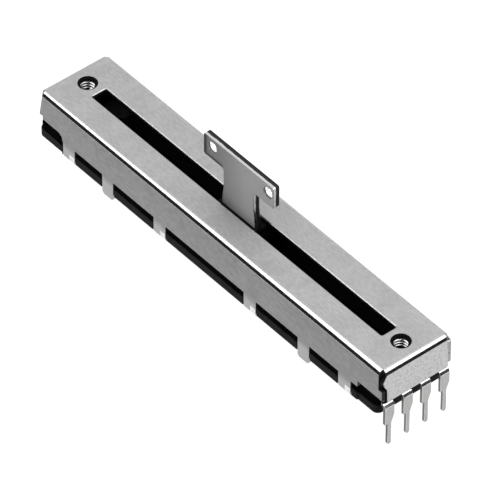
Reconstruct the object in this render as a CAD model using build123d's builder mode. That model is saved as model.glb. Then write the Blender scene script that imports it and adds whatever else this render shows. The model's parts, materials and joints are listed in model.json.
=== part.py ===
from build123d import *
import math
import os

# A metal-cased dual slide potentiometer. A folded sheet cover is crimped over a stack of
# resistor board and base plate. A plate lever stands out of the cover's slot and rides on
# a moulded carriage, whose wipers brush the printed tracks on the board.
#
# The origin is midway between the two mounting holes, on the cover's top face. +X runs
# along the body towards the end with four terminals, and +Z points out of the slot.
# All sizes are in millimetres, and depths are measured down from the top face.

# Stroke, and how far the body and the holes reach past it at each end
travel = 45.0
end_margin = 7.75
hole_margin = 5.0

# Cover sheet, with a notch at each corner, and flaps that lean out between the long walls
body_width = 10.1
sheet = 0.5
inner_bend = 0.2
wall_depth = 5.05
flap_depth = 4.55
flap_seam = 0.05
notch_length = 0.6
right_notch_depth = 2.75
right_flare = 3.0
left_flare = 10.0

# The long walls are shallower past the middle section
middle_margin = 3.55
end_section_depth = 4.15
right_step_round = 0.15
left_step_round = 0.8

# Slot in the cover, round the lever
slot_side_gap = 0.6
slot_end_gap = 0.05
slot_corner = 0.2
slot_round = 0.2

# Tapped mounting holes with a drawn collar
thread_minor_radius = 0.8
thread_lead_in = 0.28
collar_wall = 0.45
collar_depth = 1.5

# Crimp tabs and stand-off legs along each long wall
tab_width = 2.15
tab_reach = 1.6
tab_end_margin = 1.7
inner_tab_spacing = 15.95
tab_offset = -0.5
leg_width = 2.0
leg_inset = 7.05
leg_tip = 0.8
leg_tip_chamfer = 0.3
notch_gap = 0.1

# Stack under the cover: resistor board, then base plate
board_thickness = 0.95
base_thickness = 1.1
stack_margin = 7.45
stack_offset = -0.65
stack_corner = 0.8
end_setback = 0.15
board_inset = 0.1
film = 0.05
recess_gap = 0.06

# Printed tracks on the board
track_width = 1.3
track_spacing = 1.8
track_wall_gap = 0.55
track_margin = 1.9
pad_gap = 0.4
pad_reach = 1.72

# Terminals at each end, whose outermost stand a margin in from the body's sides
right_terminals = 4
left_terminals = 2
terminal_margin = 1.0
lead_sheet = 0.4
pin_width = 0.52
blade_width = 1.35
blade_shift = -0.2
neck_width = 0.9
blade_depth = 7.65
blade_taper = 1.1
pin_depth = 10.9
pin_point = 0.15
lead_bend = 0.3
blade_proud = 0.25
tail_start = 0.55
eyelet_place = 1.1

# Moulded terminal blocks at the two ends of the board
block_length = 3.2
block_bar = 1.05
block_corner = 0.5
groove_gap = 0.03

# Hollow eyelets that clinch each terminal to the board
eyelet_radius = 0.3
eyelet_wall = 0.1
eyelet_flange = 0.45
eyelet_lip = 0.14
eyelet_fit = 0.03

# Lever plate
lever_thickness = 0.9
head_length = 12.2
head_height = 3.1
lever_top = 7.8
stem_width = 5.25
root_width = 5.8
root_height = 0.1
flare_height = 2.0
head_corner = 0.25
throat_radius = 0.4
lever_hole_radius = 0.75
lever_hole_spacing = 9.7
lever_hole_offset = 0.25
lever_hole_drop = 1.25

# Moulded carriage
carriage_length = 7.0
side_play = 0.1
top_play = 0.06
deck_drop = 1.1
seat_depth = 3.95
lever_seat_depth = 3.2
rail_width = 0.9
rail_inset = 1.15
boss_wall = 0.6
skid_width = 0.35
skid_play = 0.08
mould_corner = 0.3
pocket_depth = 1.2
pocket_wall = 0.55

# Wipers, with three fingers on each track
wiper_sheet = 0.15
wiper_front = 3.1
wiper_fold = 0.9
wiper_contact = -1.2
wiper_tip = -1.8
wiper_lift = 0.4
wiper_play = 0.03
finger_slit = 0.12
fingers = 3
peg_radius = 0.32
peg_head = 0.55
peg_head_height = 0.22
peg_fit = 0.04
peg_x = 2.1

# Bowed leaf on the carriage's side, which takes up its play in the cover
leaf_sheet = 0.12
leaf_height = 1.6
leaf_half_length = 2.7
leaf_recess = 0.6
leaf_play = 0.04
leaf_room = 0.15

# Places that follow from the sizes above
body_length = travel + 2 * end_margin
half_length = body_length / 2
half_width = body_width / 2
inner_half_length = half_length - sheet
inner_half_width = half_width - sheet
flap_half_width = inner_half_width - flap_seam
pitch = 2 * (half_width - terminal_margin) / (right_terminals - 1)
resistive_y = inner_half_width - track_wall_gap - track_width / 2
collector_y = resistive_y - track_spacing
outer_bend = sheet + inner_bend
hole_x = travel / 2 + hole_margin
step_x = travel / 2 + middle_margin
slot_width = lever_thickness + 2 * slot_side_gap
slot_length = travel + root_width + 2 * slot_end_gap

leg_length = board_thickness + base_thickness + leg_tip
board_top = -wall_depth
film_top = board_top + film
board_bottom = board_top - board_thickness
base_bottom = board_bottom - base_thickness
stack_length = travel + 2 * stack_margin
block_top = -end_section_depth
block_half_width = half_width - end_setback - board_inset
carriage_floor = -seat_depth
carriage_top = -sheet - top_play
deck_top = -sheet - deck_drop
carriage_half_width = inner_half_width - side_play
rail_y = carriage_half_width - rail_inset - rail_width / 2
tail_top = film_top + lead_sheet
leaf_z = (deck_top + carriage_floor) / 2
track_end = travel / 2 + track_margin

outer_tab_x = step_x - tab_end_margin
leg_x = outer_tab_x - leg_inset
tab_places = [tab_offset + side * reach for side in (-1, 1) for reach in (outer_tab_x, inner_tab_spacing / 2)]
leg_places = [tab_offset + side * leg_x for side in (-1, 1)]

# What differs between the ends: at the left the corner notches run out of the walls' lower edges
turn = {"right": 1, "left": -1}
terminal_count = {"right": right_terminals, "left": left_terminals}
flare = {"right": right_flare, "left": left_flare}
step_round = {"right": right_step_round, "left": left_step_round}
notch_depth = {"right": right_notch_depth, "left": wall_depth}

os.makedirs("parts", exist_ok=True)


def flap_reach(end):
    """Distance from the centre to the outer lower edge of an end flap."""
    drop = flap_depth - outer_bend
    return half_length + drop * math.tan(math.radians(flare[end]))


def stack_outline(length, inset):
    """Plan of the board or the base plate: a middle section and narrower rounded ends."""
    Rectangle(2 * step_x, body_width - 2 * inset)
    with Locations((stack_offset, 0)):
        RectangleRounded(length, body_width - 2 * (end_setback + inset), stack_corner)


def edge_notches(depth):
    """Cuts in both long edges of a plan, to let the tabs and the legs pass."""
    for places, width in ((tab_places, tab_width), (leg_places, leg_width)):
        with Locations(*[(x, side * half_width) for x in places for side in (-1, 1)]):
            Rectangle(width + 2 * notch_gap, 2 * depth, mode=Mode.SUBTRACT)


def eyelet_places(end):
    """Centres of the eyelets at one end, in order of Y."""
    return [(turn[end] * (step_x + eyelet_place), y) for y in terminal_rows(end)]


def terminal_rows(end):
    """Y of each terminal at one end, in order."""
    count = terminal_count[end]
    return [pitch * (row - (count - 1) / 2) for row in range(count)]


def flat_spot(height):
    """A thin band of heights round one level, for picking faces."""
    return (height - film / 2, height + film / 2)


# Folded cover with its slot, tapped collars, corner notches, end flaps, crimp tabs and legs
with BuildPart() as top_cover:
    with BuildSketch():
        Rectangle(body_length, body_width)
    extrude(amount=-wall_depth)
    fillet(top_cover.faces().sort_by(Axis.Z)[-1].edges(), outer_bend)
    with BuildSketch(Plane.XY.offset(-sheet)):
        Rectangle(2 * inner_half_length, 2 * inner_half_width)
    extrude(amount=-wall_depth, mode=Mode.SUBTRACT)
    ceiling = top_cover.faces().filter_by(Plane.XY).filter_by_position(Axis.Z, *flat_spot(-sheet))
    fillet(ceiling.edges(), inner_bend)

    for end in ("right", "left"):
        # The end wall is cut away below its bend
        with BuildSketch(Plane.XY.offset(-outer_bend)):
            with Locations((turn[end] * half_length, 0)):
                Rectangle(2 * sheet, 2 * inner_half_width)
        extrude(amount=-wall_depth, mode=Mode.SUBTRACT)

        # Square notches at the two corners, which let the sheet fold both ways
        with BuildSketch():
            with Locations(*[(turn[end] * half_length, side * half_width) for side in (-1, 1)]):
                Rectangle(2 * notch_length, 2 * (half_width - flap_half_width))
        extrude(amount=-notch_depth[end], mode=Mode.SUBTRACT)

        # The end section of each long wall is shallower, past a rounded step
        with BuildSketch(Plane.XZ):
            with Locations((turn[end] * (step_x + half_length), block_top - wall_depth / 2)):
                below = Rectangle(body_length, wall_depth)
            upper_corners = below.vertices().group_by(Axis.Y)[-1].sort_by(Axis.X)
            fillet(upper_corners[0] if end == "right" else upper_corners[-1], step_round[end])
        extrude(amount=body_width, both=True, mode=Mode.SUBTRACT)

        # The flap is folded down between the long walls and leans outwards
        lean = flap_reach(end) - half_length
        with BuildSketch(Plane.XZ):
            with BuildLine():
                Polyline(
                    (turn[end] * inner_half_length, -outer_bend),
                    (turn[end] * half_length, -outer_bend),
                    (turn[end] * (half_length + lean), -flap_depth),
                    (turn[end] * (inner_half_length + lean), -flap_depth),
                    close=True,
                )
            make_face()
        extrude(amount=flap_half_width, both=True)

    # Slot for the lever
    with BuildSketch():
        RectangleRounded(slot_length, slot_width, slot_corner)
    extrude(amount=-2 * sheet, mode=Mode.SUBTRACT)
    top_face = top_cover.faces().sort_by(Axis.Z)[-1]
    fillet(top_face.inner_wires()[0].edges(), slot_round)

    # Drawn collars, tapped through, with a lead-in at the mouth
    with BuildSketch(Plane.XY.offset(-sheet)):
        with Locations((-hole_x, 0), (hole_x, 0)):
            Circle(thread_minor_radius + collar_wall)
    extrude(amount=sheet - collar_depth)
    with Locations((-hole_x, 0), (hole_x, 0)):
        CounterSinkHole(thread_minor_radius, thread_minor_radius + thread_lead_in, depth=2 * collar_depth)

    # Crimp tabs, folded in under the base plate
    for side in (-1, 1):
        wall_y = side * (half_width - sheet / 2)
        for x in tab_places:
            with BuildSketch(Plane.YZ.offset(x - tab_width / 2)):
                with BuildLine():
                    FilletPolyline(
                        (wall_y, -wall_depth),
                        (wall_y, base_bottom - sheet / 2),
                        (wall_y - side * (tab_reach - sheet / 2), base_bottom - sheet / 2),
                        radius=inner_bend + sheet / 2,
                    )
                trace(line_width=sheet)
            extrude(amount=tab_width)

        # Legs, which hold the body off the circuit board
        with BuildSketch(Plane.XZ.offset(-side * (half_width - sheet))):
            for x in leg_places:
                with Locations((x, -wall_depth)):
                    leg = Rectangle(leg_width, leg_length, align=(Align.CENTER, Align.MAX))
                chamfer(leg.vertices().group_by(Axis.Y)[0], leg_tip_chamfer)
        extrude(amount=-side * sheet)
top_cover.part.label = "top_cover"
export_step(top_cover.part, "parts/top_cover.step")


# Base plate, with blind pockets for the clinched ends of the eyelets
with BuildPart() as base_plate:
    with BuildSketch(Plane.XY.offset(base_bottom)):
        stack_outline(stack_length, 0)
        edge_notches(sheet + inner_bend)
    extrude(amount=base_thickness)
    with BuildSketch(Plane.XY.offset(board_bottom)):
        with Locations(*eyelet_places("right"), *eyelet_places("left")):
            Circle(eyelet_flange + recess_gap)
    extrude(amount=-eyelet_lip - recess_gap, mode=Mode.SUBTRACT)
base_plate.part.label = "base_plate"
export_step(base_plate.part, "parts/base_plate.step")

# Resistor board, whose edges carry the cover's long walls
with BuildPart() as resistor_board:
    with BuildSketch(Plane.XY.offset(board_bottom)):
        stack_outline(stack_length - 2 * board_inset, board_inset)
        edge_notches(sheet + inner_bend)
        with Locations(*eyelet_places("right"), *eyelet_places("left")):
            Circle(eyelet_radius + eyelet_fit, mode=Mode.SUBTRACT)
    extrude(amount=board_thickness)
resistor_board.part.label = "resistor_board"
export_step(resistor_board.part, "parts/resistor_board.step")

# Printed tracks and the conductor pads at their ends, one set for each channel
for side, channel in ((-1, "front"), (1, "rear")):
    with BuildPart() as resistive_track:
        with BuildSketch(Plane.XY.offset(board_top)):
            with Locations((0, side * resistive_y)):
                Rectangle(2 * track_end, track_width)
        extrude(amount=film)
    resistive_track.part.label = "resistive_track_" + channel
    export_step(resistive_track.part, "parts/resistive_track_" + channel + ".step")

    with BuildPart() as collector_track:
        with BuildSketch(Plane.XY.offset(board_top)):
            with Locations((pad_gap / 2, side * collector_y)):
                Rectangle(2 * track_end - pad_gap, track_width)
        extrude(amount=film)
    collector_track.part.label = "collector_track_" + channel
    export_step(collector_track.part, "parts/collector_track_" + channel + ".step")

    pad_end = step_x + pad_reach
    with BuildPart() as collector_pad:
        with BuildSketch(Plane.XY.offset(board_top)):
            with Locations((track_end, side * collector_y)):
                Rectangle(pad_end - track_end, track_width, align=(Align.MIN, Align.CENTER))
            with Locations((pad_end, side * pitch / 2)):
                Rectangle(pad_reach - tail_start / 2, neck_width, align=(Align.MAX, Align.CENTER))
            with Locations(*eyelet_places("right")):
                Circle(eyelet_radius + eyelet_fit, mode=Mode.SUBTRACT)
        extrude(amount=film)
    collector_pad.part.label = "collector_pad_" + channel
    export_step(collector_pad.part, "parts/collector_pad_" + channel + ".step")

    # The outer terminal stands further out than the track, so its pad widens that way
    with BuildPart() as right_pad:
        with BuildSketch(Plane.XY.offset(board_top)):
            with Locations((track_end, side * resistive_y)):
                Rectangle(pad_end - track_end, track_width, align=(Align.MIN, Align.CENTER))
            with Locations((pad_end, side * (half_width - terminal_margin))):
                Rectangle(pad_reach - tail_start / 2, neck_width, align=(Align.MAX, Align.CENTER))
            with Locations(*eyelet_places("right")):
                Circle(eyelet_radius + eyelet_fit, mode=Mode.SUBTRACT)
        extrude(amount=film)
    right_pad.part.label = "resistive_pad_right_" + channel
    export_step(right_pad.part, "parts/resistive_pad_right_" + channel + ".step")

    # At the left end the pad turns inwards, past the end of the collector, to its terminal
    left_pad_outer = resistive_y + track_width / 2
    left_pad_inner = (pitch - neck_width) / 2
    with BuildPart() as left_pad:
        with BuildSketch(Plane.XY.offset(board_top)):
            with Locations((-track_end, side * resistive_y)):
                Rectangle(pad_end - track_end, track_width, align=(Align.MAX, Align.CENTER))
            with Locations((-pad_end, side * (left_pad_inner + left_pad_outer) / 2)):
                Rectangle(
                    pad_end - track_end - pad_gap,
                    left_pad_outer - left_pad_inner,
                    align=(Align.MIN, Align.CENTER),
                )
            with Locations(*eyelet_places("left")):
                Circle(eyelet_radius + eyelet_fit, mode=Mode.SUBTRACT)
        extrude(amount=film)
    left_pad.part.label = "resistive_pad_left_" + channel
    export_step(left_pad.part, "parts/resistive_pad_left_" + channel + ".step")

for end in ("right", "left"):
    # Moulded block: two arms under the cover's end sections, and a bar across the terminals
    arm_start = step_x + step_round[end]
    bar_end = step_x + block_length
    with BuildPart() as terminal_block:
        with BuildSketch(Plane.XY.offset(board_top)):
            with Locations((turn[end] * (arm_start + bar_end) / 2, 0)):
                outline = Rectangle(bar_end - arm_start, 2 * block_half_width)
            outer_side = outline.vertices().group_by(Axis.X)[-1 if end == "right" else 0]
            fillet(outer_side, block_corner)
            with Locations((turn[end] * (bar_end - block_bar - half_length), 0)):
                Rectangle(body_length, 2 * inner_half_width, mode=Mode.SUBTRACT)
        extrude(amount=block_top - board_top)
        with BuildSketch(Plane.XY.offset(board_top)):
            with Locations(*[(turn[end] * bar_end, y) for y in terminal_rows(end)]):
                Rectangle(2 * block_length, neck_width + 2 * groove_gap)
        extrude(amount=tail_top + groove_gap - board_top, mode=Mode.SUBTRACT)
    terminal_block.part.label = "terminal_block_" + end
    export_step(terminal_block.part, "parts/terminal_block_" + end + ".step")

    for number, y in enumerate(terminal_rows(end), 1):
        # Bent sheet terminal: tail on its pad, neck under the block, blade and pin outside
        blade_x = flap_reach(end) + blade_proud - lead_sheet / 2
        blade_y = y + blade_shift
        blade_low = blade_y - blade_width / 2
        blade_high = blade_y + blade_width / 2
        with BuildPart() as terminal:
            with BuildSketch(Plane.XZ.offset(-blade_high)):
                with BuildLine():
                    FilletPolyline(
                        (turn[end] * (step_x + tail_start), film_top + lead_sheet / 2),
                        (turn[end] * blade_x, film_top + lead_sheet / 2),
                        (turn[end] * blade_x, -pin_depth),
                        radius=lead_bend + lead_sheet / 2,
                    )
                trace(line_width=lead_sheet)
            extrude(amount=blade_width)

            # Inside the flap the strip is only as wide as its neck
            with BuildSketch():
                with Locations((0, y)):
                    Rectangle(2 * (flap_reach(end) - sheet), 2 * blade_width)
                    Rectangle(body_length + pitch, neck_width, mode=Mode.SUBTRACT)
            extrude(amount=-pin_depth, mode=Mode.SUBTRACT)

            # The blade narrows to the pin, by a slope on one side and a step on the other
            with BuildSketch(Plane.YZ):
                with Locations((blade_y, -blade_depth)):
                    Rectangle(2 * pitch, 2 * blade_taper)
                with Locations((blade_y, -blade_depth)):
                    Rectangle(2 * pitch, pin_depth, align=(Align.CENTER, Align.MAX))
                with BuildLine():
                    Polyline(
                        (blade_low, blade_taper - blade_depth),
                        (blade_high, blade_taper - blade_depth),
                        (blade_y + pin_width / 2, -blade_depth),
                        (blade_y + pin_width / 2, pin_point - pin_depth),
                        (blade_y + pin_width / 2 - pin_point, -pin_depth),
                        (blade_y - pin_width / 2 + pin_point, -pin_depth),
                        (blade_y - pin_width / 2, pin_point - pin_depth),
                        (blade_y - pin_width / 2, -blade_depth),
                        (blade_low, -blade_depth),
                        close=True,
                    )
                make_face(mode=Mode.SUBTRACT)
            extrude(amount=body_length, both=True, mode=Mode.SUBTRACT)
            with BuildSketch(Plane.XY.offset(film_top)):
                with Locations(*eyelet_places(end)):
                    Circle(eyelet_radius + eyelet_fit)
            extrude(amount=lead_sheet, mode=Mode.SUBTRACT)
        terminal.part.label = "terminal_" + end + "_" + str(number)
        export_step(terminal.part, "parts/" + terminal.part.label + ".step")

        # Eyelet with a flange on the tail and a clinched lip under the board
        eyelet_x = turn[end] * (step_x + eyelet_place)
        with BuildPart() as eyelet:
            with BuildSketch(Plane((eyelet_x, y, 0), x_dir=(1, 0, 0), z_dir=(0, -1, 0))):
                with BuildLine():
                    Polyline(
                        (eyelet_radius - eyelet_wall, board_bottom - eyelet_lip),
                        (eyelet_flange, board_bottom - eyelet_lip),
                        (eyelet_flange, board_bottom),
                        (eyelet_radius, board_bottom),
                        (eyelet_radius, tail_top),
                        (eyelet_flange, tail_top),
                        (eyelet_flange, tail_top + eyelet_lip),
                        (eyelet_radius - eyelet_wall, tail_top + eyelet_lip),
                        close=True,
                    )
                make_face()
            revolve(axis=Axis((eyelet_x, y, 0), (0, 0, 1)))
        eyelet.part.label = "eyelet_" + end + "_" + str(number)
        export_step(eyelet.part, "parts/" + eyelet.part.label + ".step")

# Moulded carriage, which slides between the cover's walls and holds the lever
with BuildPart() as slider_carriage:
    with BuildSketch(Plane.XY.offset(carriage_floor)):
        RectangleRounded(carriage_length, 2 * carriage_half_width, mould_corner)
    extrude(amount=deck_top - carriage_floor)

    # Rails that run under the cover, and the boss round the lever
    with BuildSketch(Plane.XY.offset(deck_top)):
        with Locations((0, -rail_y), (0, rail_y)):
            SlotOverall(carriage_length - 2 * mould_corner, rail_width)
        RectangleRounded(carriage_length - mould_corner, lever_thickness + 2 * boss_wall, mould_corner)
    extrude(amount=carriage_top - deck_top)

    # Skids that run on the margins of the board
    with BuildSketch(Plane.XY.offset(carriage_floor)):
        for side in (-1, 1):
            with Locations((0, side * (carriage_half_width - skid_width / 2))):
                Rectangle(carriage_length - 2 * mould_corner, skid_width)
    extrude(amount=film_top + skid_play - carriage_floor)

    # Pocket for the lever's root
    with BuildSketch(Plane.XY.offset(-lever_seat_depth)):
        Rectangle(root_width, lever_thickness)
    extrude(amount=lever_seat_depth, mode=Mode.SUBTRACT)

    # Recess for the leaf in the rear side, and two cored pockets in the front side
    with BuildSketch(Plane.XZ.offset(-carriage_half_width)):
        with Locations((0, leaf_z)):
            Rectangle(2 * (leaf_half_length + leaf_room), leaf_height + 2 * leaf_room)
    extrude(amount=leaf_recess, mode=Mode.SUBTRACT)
    with BuildSketch(Plane.XZ.offset(carriage_half_width)):
        with Locations((0, leaf_z)):
            Rectangle(carriage_length - 4 * pocket_wall, leaf_height)
            Rectangle(pocket_wall, leaf_height, mode=Mode.SUBTRACT)
    extrude(amount=-pocket_depth, mode=Mode.SUBTRACT)

    # Pegs through the wipers, with their heads staked over
    with BuildSketch(Plane.XY.offset(carriage_floor)):
        with Locations(*[(peg_x, side * y) for side in (-1, 1) for y in (collector_y, resistive_y)]):
            Circle(peg_radius)
    extrude(amount=-wiper_sheet)
    with BuildSketch(Plane.XY.offset(carriage_floor - wiper_sheet)):
        with Locations(*[(peg_x, side * y) for side in (-1, 1) for y in (collector_y, resistive_y)]):
            Circle(peg_head)
    extrude(amount=-peg_head_height)
slider_carriage.part.label = "slider_carriage"
export_step(slider_carriage.part, "parts/slider_carriage.step")

# Plate lever with a long head, two holes and a root that widens below the slot
with BuildPart() as lever:
    with BuildSketch(Plane.XZ):
        with Locations((0, lever_top)):
            head = Rectangle(head_length, head_height, align=(Align.CENTER, Align.MAX))
        fillet(head.vertices(), head_corner)
        with BuildLine():
            Polyline(
                (-stem_width / 2, lever_top - head_height / 2),
                (-stem_width / 2, flare_height),
                (-root_width / 2, root_height),
                (-root_width / 2, -lever_seat_depth),
                (root_width / 2, -lever_seat_depth),
                (root_width / 2, root_height),
                (stem_width / 2, flare_height),
                (stem_width / 2, lever_top - head_height / 2),
                close=True,
            )
        make_face()
    extrude(amount=lever_thickness / 2, both=True)
    throats = lever.edges().filter_by(Axis.Y).filter_by_position(
        Axis.Z, *flat_spot(lever_top - head_height)
    ).filter_by_position(Axis.X, *flat_spot(stem_width / 2))
    throats += lever.edges().filter_by(Axis.Y).filter_by_position(
        Axis.Z, *flat_spot(lever_top - head_height)
    ).filter_by_position(Axis.X, *flat_spot(-stem_width / 2))
    fillet(throats, throat_radius)
    with BuildSketch(Plane.XZ.offset(-lever_thickness)):
        with Locations((lever_hole_offset, lever_top - lever_hole_drop)):
            with GridLocations(lever_hole_spacing, 1, 2, 1):
                Circle(lever_hole_radius)
    extrude(amount=2 * lever_thickness, mode=Mode.SUBTRACT)
lever.part.label = "lever"
export_step(lever.part, "parts/lever.step")

# Sprung wipers, each bridging one resistive track and its collector
for side, channel in ((-1, "front"), (1, "rear")):
    seat_z = carriage_floor - wiper_sheet / 2
    wiper_width = resistive_y - collector_y + track_width
    wiper_y = side * (resistive_y + collector_y) / 2
    finger_pitch = (track_width + finger_slit) / fingers
    slit_end = wiper_fold - 2 * wiper_sheet
    with BuildPart() as wiper:
        with BuildSketch(Plane.XZ.offset(-wiper_y - wiper_width / 2)):
            with BuildLine():
                contact_z = film_top + wiper_play + wiper_sheet / 2
                FilletPolyline(
                    (wiper_front, seat_z),
                    (wiper_fold, seat_z),
                    (wiper_contact, contact_z),
                    (wiper_tip, contact_z + wiper_lift),
                    radius=2 * wiper_sheet,
                )
            trace(line_width=wiper_sheet)
        extrude(amount=wiper_width)

        # The gap between the two arms, and the slits between their fingers
        with BuildSketch():
            with Locations((slit_end, wiper_y)):
                Rectangle(
                    carriage_length,
                    resistive_y - collector_y - track_width,
                    align=(Align.MAX, Align.CENTER),
                )
            for track_y in (collector_y, resistive_y):
                with Locations((slit_end - carriage_length / 2, side * track_y)):
                    with GridLocations(1, finger_pitch, 1, fingers - 1):
                        Rectangle(carriage_length, finger_slit)
            with Locations((peg_x, side * collector_y), (peg_x, side * resistive_y)):
                Circle(peg_radius + peg_fit)
        extrude(amount=-wall_depth, mode=Mode.SUBTRACT)
    wiper.part.label = "wiper_" + channel
    export_step(wiper.part, "parts/wiper_" + channel + ".step")

# Bowed leaf between the carriage and the cover's rear wall
with BuildPart() as slider_spring:
    with BuildSketch(Plane.XY.offset(leaf_z - leaf_height / 2)):
        with BuildLine():
            foot_y = carriage_half_width - leaf_recess + leaf_sheet / 2
            ThreePointArc(
                (-leaf_half_length, foot_y),
                (0, inner_half_width - leaf_play - leaf_sheet / 2),
                (leaf_half_length, foot_y),
            )
        trace(line_width=leaf_sheet)
    extrude(amount=leaf_height)
slider_spring.part.label = "slider_spring"
export_step(slider_spring.part, "parts/slider_spring.step")
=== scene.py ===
"""Looks of the slide potentiometer: its finishes, rounded sheet edges, cut threads and studio.

Pieces are shaped in millimetres, in the frame's own axes, and shrunk to metres once they are finished.
"""

import json
import logging
import math
from collections.abc import Callable, Iterable
from dataclasses import dataclass
from enum import Enum
from typing import Any

import bpy
from mathutils import Matrix, Vector

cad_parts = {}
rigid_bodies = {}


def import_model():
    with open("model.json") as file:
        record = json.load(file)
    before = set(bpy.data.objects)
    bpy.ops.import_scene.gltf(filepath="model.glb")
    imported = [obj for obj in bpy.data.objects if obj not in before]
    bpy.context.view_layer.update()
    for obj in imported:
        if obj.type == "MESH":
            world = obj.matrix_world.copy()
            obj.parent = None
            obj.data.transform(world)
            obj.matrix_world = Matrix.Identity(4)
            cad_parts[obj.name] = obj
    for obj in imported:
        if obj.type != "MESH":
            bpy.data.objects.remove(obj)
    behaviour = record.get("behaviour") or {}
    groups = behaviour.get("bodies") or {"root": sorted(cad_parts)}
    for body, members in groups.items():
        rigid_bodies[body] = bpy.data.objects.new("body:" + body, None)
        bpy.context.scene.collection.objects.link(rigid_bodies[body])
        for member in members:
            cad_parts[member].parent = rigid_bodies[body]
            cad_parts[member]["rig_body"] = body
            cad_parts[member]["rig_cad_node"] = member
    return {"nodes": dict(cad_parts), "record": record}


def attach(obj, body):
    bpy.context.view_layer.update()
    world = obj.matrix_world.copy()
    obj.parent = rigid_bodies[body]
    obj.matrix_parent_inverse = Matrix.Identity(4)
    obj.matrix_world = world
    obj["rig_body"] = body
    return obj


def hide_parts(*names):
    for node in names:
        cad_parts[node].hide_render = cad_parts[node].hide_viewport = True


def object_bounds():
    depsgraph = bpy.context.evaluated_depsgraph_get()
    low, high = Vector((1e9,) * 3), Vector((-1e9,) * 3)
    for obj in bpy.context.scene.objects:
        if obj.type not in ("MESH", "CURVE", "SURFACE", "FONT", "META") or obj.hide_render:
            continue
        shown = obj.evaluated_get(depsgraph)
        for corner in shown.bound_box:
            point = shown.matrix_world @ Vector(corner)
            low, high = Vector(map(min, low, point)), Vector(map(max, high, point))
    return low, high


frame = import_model()
cad_low, cad_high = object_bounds()

MM = 0.001
MERGE_GAP = 0.0005
FLAT_ANGLE = 0.5
SMOOTH_ANGLE = 32.0
NORMAL_WEIGHT = 80
CLOUD_MIDDLE = 0.5
LOG = logging.getLogger("slide_potentiometer")

FaceTest = Callable[[bpy.types.MeshPolygon], bool]
Triple = tuple[float, float, float]


class Axis(Enum):
    """The frame's axes: along the body, across it and upwards."""

    X = "X"
    Y = "Y"
    Z = "Z"


class Side(Enum):
    """The two sides of the part's middle, or of a line across an axis, by their sign."""

    LOW = -1
    HIGH = 1


class End(Enum):
    """The ends of the body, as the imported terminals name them."""

    RIGHT = "right"
    LEFT = "left"


class Body(Enum):
    """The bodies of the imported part."""

    HOUSING = "housing"
    SLIDER = "slider"


class Slot(Enum):
    """The record's material slots."""

    COVER = "cover"
    LEVER = "lever"
    BASE = "base"
    BOARD = "board"
    BLOCK = "block"
    TERMINAL = "terminal"
    CARBON = "carbon"
    SILVER_PRINT = "silver_print"
    EYELET = "eyelet"
    CARRIAGE = "carriage"
    WIPER = "wiper"
    LEAF = "leaf"


class Zone(Enum):
    """The material slots of a metal piece, by how each face was made and by the painted light or shade that it
    carries.
    """

    FACE = 0
    EDGE = 1
    CUT = 2
    BORE = 3
    PAINTED_LIGHT = 4
    RIM = 5
    SPOT = 6


class Detail(Enum):
    """How many octaves of finer detail a cloudy pattern carries."""

    NONE = 0.0
    FINE = 3.0
    FINEST = 4.0


class Field:
    """A value or colour that changes over a surface, with the operators that numbers have."""

    def __init__(self, shader: "Shader", socket: bpy.types.NodeSocket) -> None:
        """Wraps one output socket of a shader's node tree."""
        self.shader = shader
        self.socket = socket

    def math(self, operation: str, *others: "Field | float") -> "Field":
        """Adds a Math node on this value and the others, and gives its result."""
        return self.shader.node("ShaderNodeMath", {"operation": operation}, dict(enumerate((self, *others))))

    def __add__(self, other: "Field | float") -> "Field":
        """Adds a value."""
        return self.math("ADD", other)

    def __radd__(self, other: float) -> "Field":
        """Adds to a number."""
        return self.math("ADD", other)

    def __sub__(self, other: "Field | float") -> "Field":
        """Takes a value away."""
        return self.math("SUBTRACT", other)

    def __rsub__(self, other: float) -> "Field":
        """Is taken away from a number."""
        return (self * -1.0).math("ADD", other)

    def __mul__(self, other: "Field | float") -> "Field":
        """Multiplies by a value."""
        return self.math("MULTIPLY", other)

    def __rmul__(self, other: float) -> "Field":
        """Multiplies a number."""
        return self.math("MULTIPLY", other)

    def swing(self) -> "Field":
        """Centres a cloudy pattern on 0."""
        return self - CLOUD_MIDDLE

    def above(self, edge: float, blur: float) -> "Field":
        """Gives a mask that rises from 0 to 1 where the value passes an edge.

        Args:
            edge: The value at the middle of the rise.
            blur: The width of the rise.

        Returns:
            The mask.
        """
        settings = {"interpolation_type": "SMOOTHSTEP"}
        inputs = {"Value": self, "From Min": edge - blur / 2, "From Max": edge + blur / 2}
        return self.shader.node("ShaderNodeMapRange", settings, inputs)


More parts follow.
